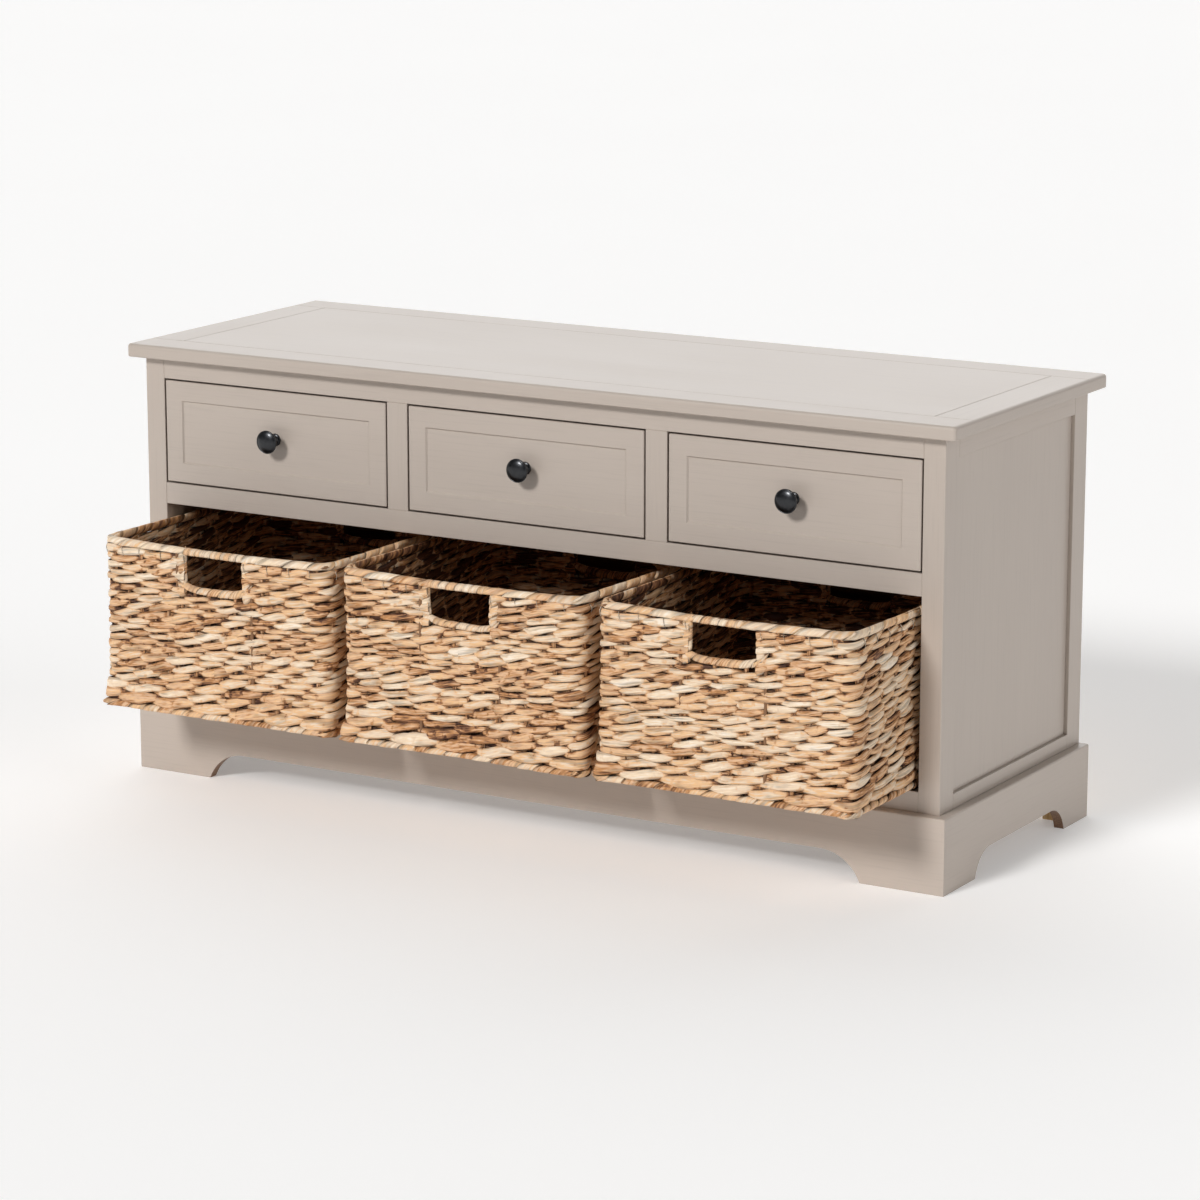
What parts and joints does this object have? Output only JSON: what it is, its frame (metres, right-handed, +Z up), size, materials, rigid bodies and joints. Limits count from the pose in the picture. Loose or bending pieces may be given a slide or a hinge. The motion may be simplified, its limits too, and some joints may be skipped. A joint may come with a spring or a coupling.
{
  "type": "entryway bench",
  "caption": "Painted storage bench with a framed seat, panelled sides, bracket plinth, shallow drawers and woven pull-out baskets.",
  "frame": {"origin": "on the floor, under the middle of the bench's outline with the baskets pulled out", "axes": "+X along the bench to the right seen from its front, +Y to the back, +Z up"},
  "size_m": [1.066, 0.513, 0.508],
  "materials": {
    "greige_paint": "satin paint over fine grain",
    "plain_wood": "sanded, unpainted",
    "plywood": "thin plywood, unpainted",
    "gunmetal": "dark gunmetal, satin",
    "steel": "zinc-plated",
    "water_hyacinth": "woven dried stems"
  },
  "bodies": {
    "cabinet": {"top_front_rail": "greige_paint", "top_back_rail": "greige_paint", "top_centre_panel": "greige_paint", "top_left_end": "greige_paint", "top_right_end": "greige_paint", "left_front_post": "greige_paint", "left_back_post": "greige_paint", "left_side_top_rail": "greige_paint", "left_side_bottom_rail": "greige_paint", "left_side_panel": "greige_paint", "left_muntin": "greige_paint", "left_partition": "plain_wood", "right_front_post": "greige_paint", "right_back_post": "greige_paint", "right_side_top_rail": "greige_paint", "right_side_bottom_rail": "greige_paint", "right_side_panel": "greige_paint", "right_muntin": "greige_paint", "right_partition": "plain_wood", "front_top_rail": "greige_paint", "front_mid_rail": "greige_paint", "front_bottom_rail": "greige_paint", "drawer_runners": "plain_wood", "bottom_shelf": "greige_paint", "back_panel": "plywood", "back_panel_screws": "steel", "back_rails": "plain_wood", "top_screws": "steel", "plinth_front": "greige_paint", "plinth_left": "greige_paint", "plinth_right": "greige_paint", "plinth_back": "greige_paint", "corner_blocks": "plain_wood"},
    "drawer_left": {"drawer_left_front": "greige_paint", "drawer_left_left_side": "plain_wood", "drawer_left_right_side": "plain_wood", "drawer_left_back": "plain_wood", "drawer_left_bottom": "plywood", "drawer_left_knob": "gunmetal", "drawer_left_knob_screw": "steel"},
    "drawer_centre": {"drawer_centre_front": "greige_paint", "drawer_centre_left_side": "plain_wood", "drawer_centre_right_side": "plain_wood", "drawer_centre_back": "plain_wood", "drawer_centre_bottom": "plywood", "drawer_centre_knob": "gunmetal", "drawer_centre_knob_screw": "steel"},
    "drawer_right": {"drawer_right_front": "greige_paint", "drawer_right_left_side": "plain_wood", "drawer_right_right_side": "plain_wood", "drawer_right_back": "plain_wood", "drawer_right_bottom": "plywood", "drawer_right_knob": "gunmetal", "drawer_right_knob_screw": "steel"},
    "basket_left": {"basket_left_weave": "water_hyacinth", "basket_left_wire_frame": "steel"},
    "basket_centre": {"basket_centre_weave": "water_hyacinth", "basket_centre_wire_frame": "steel"},
    "basket_right": {"basket_right_weave": "water_hyacinth", "basket_right_wire_frame": "steel"}
  },
  "joints": [
    {"name": "drawer_left_slide", "type": "slide", "parent": "cabinet", "child": "drawer_left", "axis": [0, -1, 0], "range_m": [0, 0.24]},
    {"name": "drawer_centre_slide", "type": "slide", "parent": "cabinet", "child": "drawer_centre", "axis": [0, -1, 0], "range_m": [0, 0.24]},
    {"name": "drawer_right_slide", "type": "slide", "parent": "cabinet", "child": "drawer_right", "axis": [0, -1, 0], "range_m": [0, 0.24]},
    {"name": "basket_left_slide", "type": "slide", "parent": "cabinet", "child": "basket_left", "axis": [0, -1, 0], "range_m": [-0.14, 0.145]},
    {"name": "basket_centre_slide", "type": "slide", "parent": "cabinet", "child": "basket_centre", "axis": [0, -1, 0], "range_m": [-0.14, 0.145]},
    {"name": "basket_right_slide", "type": "slide", "parent": "cabinet", "child": "basket_right", "axis": [0, -1, 0], "range_m": [-0.14, 0.145]}
  ]
}
